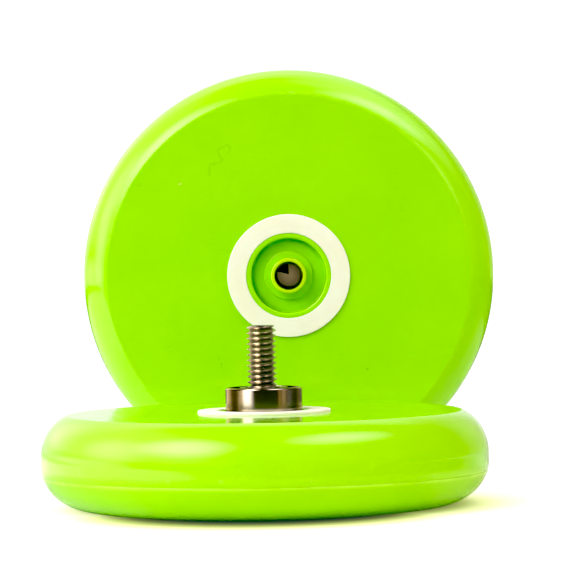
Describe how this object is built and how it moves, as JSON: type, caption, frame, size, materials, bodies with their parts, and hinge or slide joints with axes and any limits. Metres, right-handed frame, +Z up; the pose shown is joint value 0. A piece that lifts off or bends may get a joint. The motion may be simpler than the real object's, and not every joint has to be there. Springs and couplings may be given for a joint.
{
  "type": "yo yo",
  "caption": "Ball-bearing yo-yo taken apart: one half lies flat with bearing and threaded axle upright, the other half stands on its rim behind it.",
  "frame": {"origin": "middle of the front half's outer face, on the axle's axis", "axes": "+Z up along the axle, +Y towards the standing rear half, whose inner face looks towards -Y"},
  "size_m": [0.0614, 0.0828, 0.058],
  "materials": {
    "lime_plastic": "gloss injection-moulded",
    "friction_pad": "matt white rubber",
    "bearing_steel": "polished",
    "axle_steel": "rolled thread",
    "ball_steel": "mirror",
    "nut_metal": "turned",
    "shield_steel": "pressed",
    "cage_steel": "pressed"
  },
  "bodies": {
    "front_half": {"front_body": "lime_plastic", "front_side_cap": "lime_plastic", "front_axle_nut": "nut_metal", "front_response_pad": "friction_pad", "axle": "axle_steel"},
    "bearing_core": {"bearing_inner_ring": "bearing_steel"},
    "bearing_outer": {"bearing_outer_ring": "bearing_steel", "bearing_shield_top": "shield_steel", "bearing_shield_bottom": "shield_steel", "bearing_snap_ring_top": "axle_steel", "bearing_snap_ring_bottom": "axle_steel"},
    "ball_cage": {"bearing_cage": "cage_steel"},
    "ball_1": {"bearing_ball_1": "ball_steel"},
    "ball_2": {"bearing_ball_2": "ball_steel"},
    "ball_3": {"bearing_ball_3": "ball_steel"},
    "ball_4": {"bearing_ball_4": "ball_steel"},
    "ball_5": {"bearing_ball_5": "ball_steel"},
    "ball_6": {"bearing_ball_6": "ball_steel"},
    "ball_7": {"bearing_ball_7": "ball_steel"},
    "ball_8": {"bearing_ball_8": "ball_steel"},
    "rear_half": {"rear_body": "lime_plastic", "rear_side_cap": "lime_plastic", "rear_axle_nut": "nut_metal", "rear_response_pad": "friction_pad"}
  },
  "joints": [
    {"name": "bearing_lift", "type": "slide", "parent": "front_half", "child": "bearing_core", "axis": [0, 0, 1], "range_m": [0, 0.0125]},
    {"name": "bearing_spin", "type": "hinge", "parent": "bearing_core", "child": "bearing_outer", "pos_m": [0, 0, 0.0134], "axis": [0, 0, 1], "continuous": true},
    {"name": "cage_orbit", "type": "hinge", "parent": "bearing_core", "child": "ball_cage", "pos_m": [0, 0, 0.0134], "axis": [0, 0, 1], "continuous": true},
    {"name": "ball_1_roll", "type": "hinge", "parent": "ball_cage", "child": "ball_1", "pos_m": [0.00346, 0.00144, 0.0134], "axis": [0, 0, 1], "continuous": true},
    {"name": "ball_2_roll", "type": "hinge", "parent": "ball_cage", "child": "ball_2", "pos_m": [0.00144, 0.00346, 0.0134], "axis": [0, 0, 1], "continuous": true},
    {"name": "ball_3_roll", "type": "hinge", "parent": "ball_cage", "child": "ball_3", "pos_m": [-0.00144, 0.00346, 0.0134], "axis": [0, 0, 1], "continuous": true},
    {"name": "ball_4_roll", "type": "hinge", "parent": "ball_cage", "child": "ball_4", "pos_m": [-0.00346, 0.00144, 0.0134], "axis": [0, 0, 1], "continuous": true},
    {"name": "ball_5_roll", "type": "hinge", "parent": "ball_cage", "child": "ball_5", "pos_m": [-0.00346, -0.00144, 0.0134], "axis": [0, 0, 1], "continuous": true},
    {"name": "ball_6_roll", "type": "hinge", "parent": "ball_cage", "child": "ball_6", "pos_m": [-0.00144, -0.00346, 0.0134], "axis": [0, 0, 1], "continuous": true},
    {"name": "ball_7_roll", "type": "hinge", "parent": "ball_cage", "child": "ball_7", "pos_m": [0.00144, -0.00346, 0.0134], "axis": [0, 0, 1], "continuous": true},
    {"name": "ball_8_roll", "type": "hinge", "parent": "ball_cage", "child": "ball_8", "pos_m": [0.00346, -0.00144, 0.0134], "axis": [0, 0, 1], "continuous": true},
    {"name": "rear_half_swing", "type": "hinge", "parent": "front_half", "child": "rear_half", "pos_m": [-0.00118, 0.02005, 0.00945], "axis": [0.9927, -0.0852, -0.0852], "range_deg": [0, 90.42]}
  ],
  "couplings": [
    {"joint": "cage_orbit", "follows": "bearing_spin", "ratio": 0.6},
    {"joint": "ball_1_roll", "follows": "bearing_spin", "ratio": 2.4},
    {"joint": "ball_2_roll", "follows": "bearing_spin", "ratio": 2.4},
    {"joint": "ball_3_roll", "follows": "bearing_spin", "ratio": 2.4},
    {"joint": "ball_4_roll", "follows": "bearing_spin", "ratio": 2.4},
    {"joint": "ball_5_roll", "follows": "bearing_spin", "ratio": 2.4},
    {"joint": "ball_6_roll", "follows": "bearing_spin", "ratio": 2.4},
    {"joint": "ball_7_roll", "follows": "bearing_spin", "ratio": 2.4},
    {"joint": "ball_8_roll", "follows": "bearing_spin", "ratio": 2.4}
  ]
}
